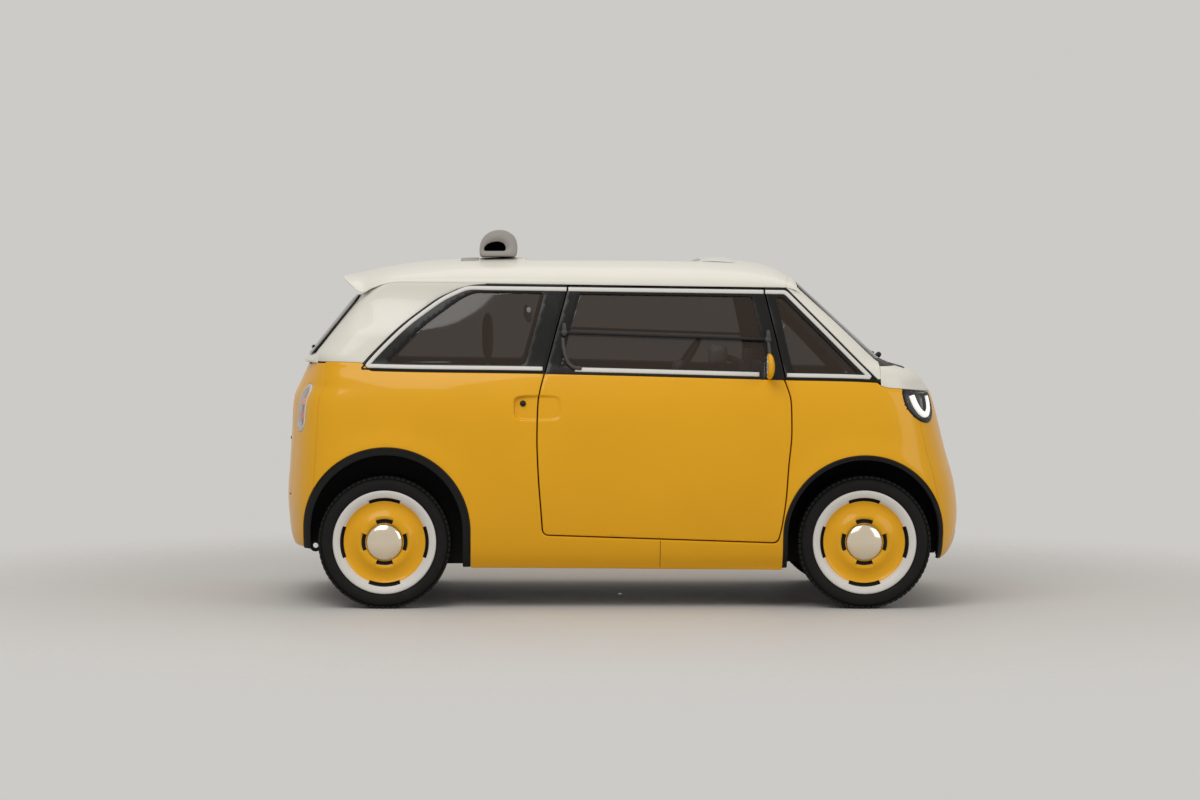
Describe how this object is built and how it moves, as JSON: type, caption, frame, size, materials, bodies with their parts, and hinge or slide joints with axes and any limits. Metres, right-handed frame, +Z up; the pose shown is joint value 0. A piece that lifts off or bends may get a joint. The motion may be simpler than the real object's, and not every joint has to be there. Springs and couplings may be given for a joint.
{
  "type": "concept car",
  "caption": "Short two-door city car with rounded body, glazed cabin, opening doors, tailgate and bonnet, steered front wheels and a rolled fabric roof.",
  "frame": {"origin": "on the ground, midway along the car's length and width", "axes": "+X forward, +Y to the car's left, +Z up"},
  "size_m": [3.0821, 1.6876, 1.7062],
  "materials": {
    "body_colour": "warm yellow gloss paint",
    "white_paint": "off-white gloss paint",
    "tinted_glass": "dark tinted glass",
    "lamp_lens": "clear lamp cover",
    "fabric": "woven dark grey cloth",
    "alloy": "cast housing",
    "dark_steel": "black chassis paint",
    "black_trim": "black plastic and trim",
    "tyre": "black rubber"
  },
  "bodies": {
    "body": {"floor_pan": "black_trim", "sills": "body_colour", "battery_pack": "alloy", "drive_unit": "alloy", "front_fenders": "body_colour", "rear_quarters": "body_colour", "nose_panel": "body_colour", "tail_panel": "body_colour", "roof": "white_paint", "pillars": "white_paint", "wing_caps": "white_paint", "cowl": "black_trim", "side_frames": "black_trim", "glazing": "tinted_glass", "arch_liners": "black_trim", "dashboard": "black_trim", "front_seats": "fabric", "rear_seat": "fabric", "front_suspension": "dark_steel", "rear_axle": "dark_steel", "lamps": "lamp_lens", "roof_roll": "fabric"},
    "door_right": {"door_right": "body_colour", "door_frame_right": "black_trim", "door_glass_right": "tinted_glass", "mirror_right": "body_colour"},
    "door_left": {"door_left": "body_colour", "door_frame_left": "black_trim", "door_glass_left": "tinted_glass", "mirror_left": "body_colour"},
    "tailgate": {"tailgate_panel": "body_colour", "tailgate_frame": "black_trim", "tailgate_glass": "tinted_glass"},
    "bonnet": {"bonnet": "white_paint"},
    "steering_wheel": {"steering_wheel": "black_trim"},
    "knuckle_right": {"knuckle_right": "dark_steel"},
    "knuckle_left": {"knuckle_left": "dark_steel"},
    "wheel_front_right": {"wheel_fr": "body_colour", "tyre_fr": "tyre"},
    "wheel_front_left": {"wheel_fl": "body_colour", "tyre_fl": "tyre"},
    "wheel_rear_right": {"wheel_rr": "body_colour", "tyre_rr": "tyre"},
    "wheel_rear_left": {"wheel_rl": "body_colour", "tyre_rl": "tyre"}
  },
  "joints": [
    {"name": "steer_right", "type": "hinge", "parent": "body", "child": "knuckle_right", "pos_m": [1.075, -0.6345, 0.299], "axis": [0, 0, 1], "range_deg": [-30, 30]},
    {"name": "steer_left", "type": "hinge", "parent": "body", "child": "knuckle_left", "pos_m": [1.075, 0.6345, 0.299], "axis": [0, 0, 1], "range_deg": [-30, 30]},
    {"name": "steering_turn", "type": "hinge", "parent": "body", "child": "steering_wheel", "pos_m": [0.3, 0.32, 1.05], "axis": [-0.8387, 0, 0.5446], "range_deg": [-360, 360]},
    {"name": "spin_front_right", "type": "hinge", "parent": "knuckle_right", "child": "wheel_front_right", "pos_m": [1.075, -0.6345, 0.299], "axis": [0, 1, 0], "continuous": true},
    {"name": "spin_front_left", "type": "hinge", "parent": "knuckle_left", "child": "wheel_front_left", "pos_m": [1.075, 0.6345, 0.299], "axis": [0, 1, 0], "continuous": true},
    {"name": "spin_rear_right", "type": "hinge", "parent": "body", "child": "wheel_rear_right", "pos_m": [-1.085, -0.6345, 0.299], "axis": [0, 1, 0], "continuous": true},
    {"name": "spin_rear_left", "type": "hinge", "parent": "body", "child": "wheel_rear_left", "pos_m": [-1.085, 0.6345, 0.299], "axis": [0, 1, 0], "continuous": true},
    {"name": "door_right_swing", "type": "hinge", "parent": "body", "child": "door_right", "pos_m": [0.743, -0.783, 0.7], "axis": [0, 0, 1], "range_deg": [0, 65]},
    {"name": "door_left_swing", "type": "hinge", "parent": "body", "child": "door_left", "pos_m": [0.743, 0.783, 0.7], "axis": [0, 0, -1], "range_deg": [0, 65]},
    {"name": "tailgate_lift", "type": "hinge", "parent": "body", "child": "tailgate", "pos_m": [-1.225, 0, 1.431], "axis": [0, 1, 0], "range_deg": [0, 75]},
    {"name": "bonnet_lift", "type": "hinge", "parent": "body", "child": "bonnet", "pos_m": [1.2, 0, 1.102], "axis": [0, -1, 0], "range_deg": [0, 50]}
  ],
  "couplings": [
    {"joint": "steer_left", "follows": "steer_right", "ratio": 1},
    {"joint": "steering_turn", "follows": "steer_right", "ratio": 12}
  ]
}
